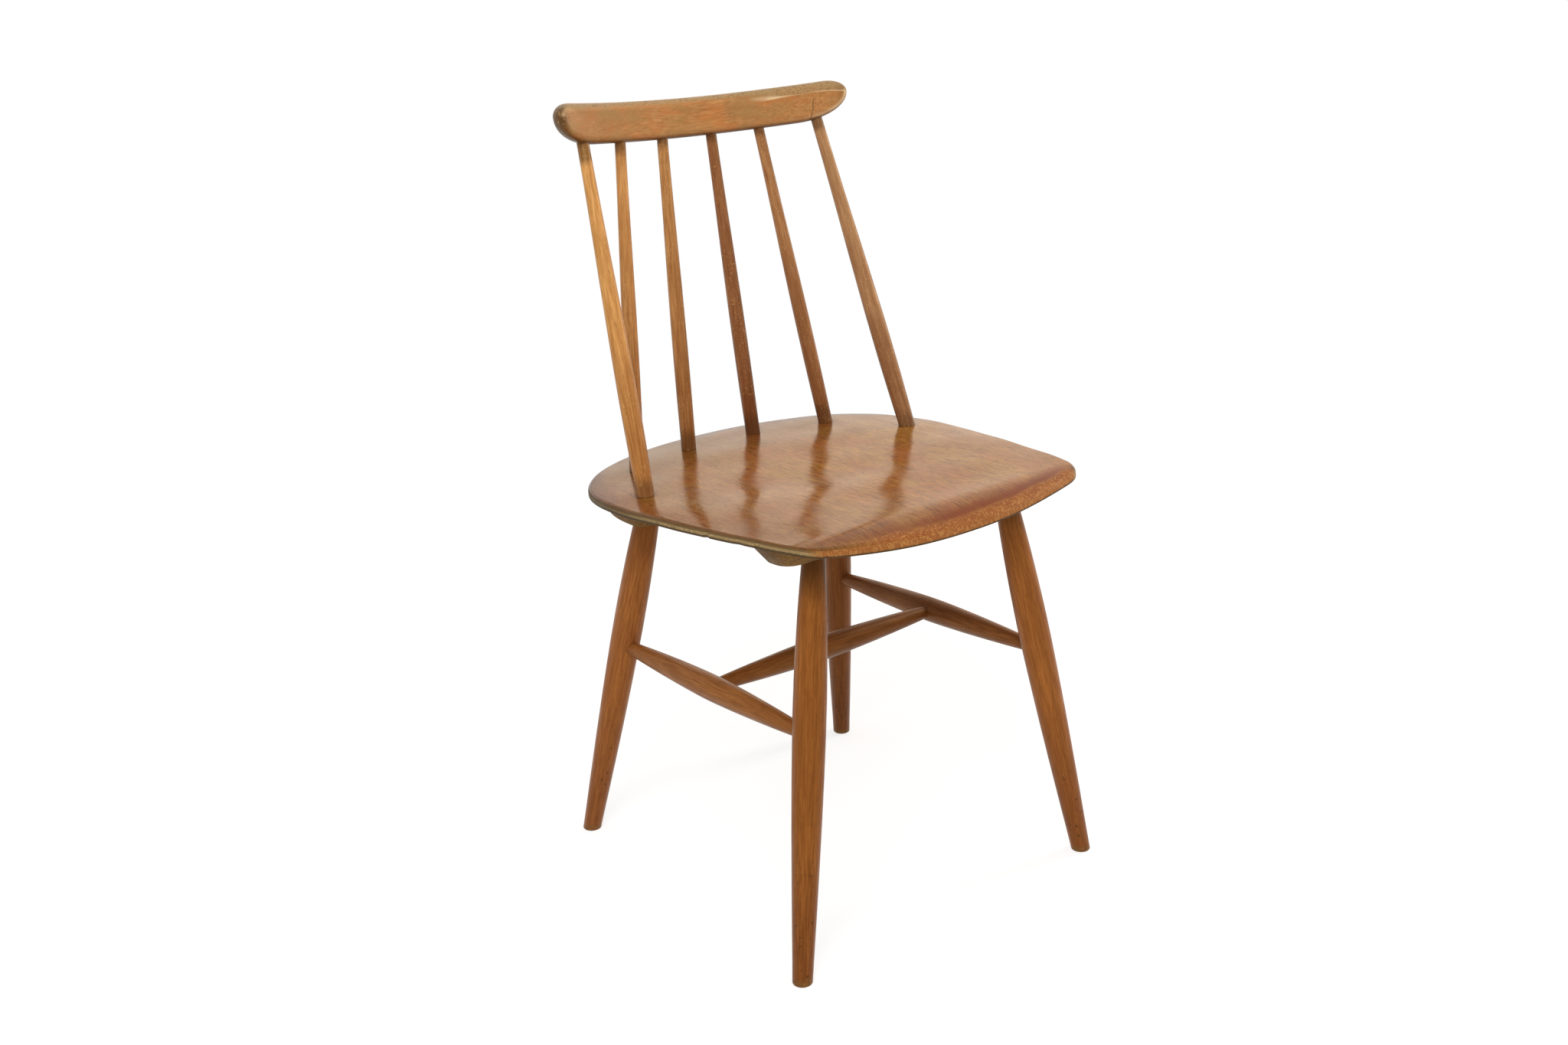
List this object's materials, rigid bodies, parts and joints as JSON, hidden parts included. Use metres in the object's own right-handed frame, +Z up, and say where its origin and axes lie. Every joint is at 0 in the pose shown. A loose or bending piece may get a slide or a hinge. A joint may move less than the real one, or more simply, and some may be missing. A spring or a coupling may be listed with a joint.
{
  "type": "windsor chair",
  "caption": "Wooden dining chair with a curved crest rail on a fan of turned spindles, a moulded plywood seat and splayed turned legs tied by an H stretcher.",
  "frame": {"origin": "on the floor, under the middle of the chair's outer box", "axes": "+X to the sitter's left hand, which is the right of the chair seen from in front; -Y the way a sitter faces; +Z up"},
  "size_m": [0.45, 0.4705, 0.844],
  "materials": {
    "rail_wood": "stained birch, satin lacquer, worn paler along the top",
    "spindle_wood": "stained birch, satin lacquer",
    "turned_wood": "stained birch, satin lacquer",
    "seat_veneer": "teak face veneer, glossy lacquer",
    "seat_plies": "birch plies, lacquered edge",
    "seat_underside": "backing veneer, thin lacquer",
    "hidden_wood": "birch, thin lacquer",
    "screw_steel": "dull zinc"
  },
  "bodies": {
    "root": {"back_spindle_1": "spindle_wood", "back_spindle_2": "spindle_wood", "back_spindle_3": "spindle_wood", "back_spindle_4": "spindle_wood", "back_spindle_5": "spindle_wood", "back_spindle_6": "spindle_wood", "crest_rail": "rail_wood", "cross_stretcher": "turned_wood", "front_batten": "hidden_wood", "front_batten_screws": "screw_steel", "leg_front_left": "turned_wood", "leg_front_right": "turned_wood", "leg_rear_left": "turned_wood", "leg_rear_right": "turned_wood", "rear_block": "hidden_wood", "rear_block_screws": "screw_steel", "seat_back_veneer": "seat_underside", "seat_core_plies": "seat_plies", "seat_face_veneer": "seat_veneer", "side_stretcher_left": "turned_wood", "side_stretcher_right": "turned_wood"}
  },
  "joints": []
}
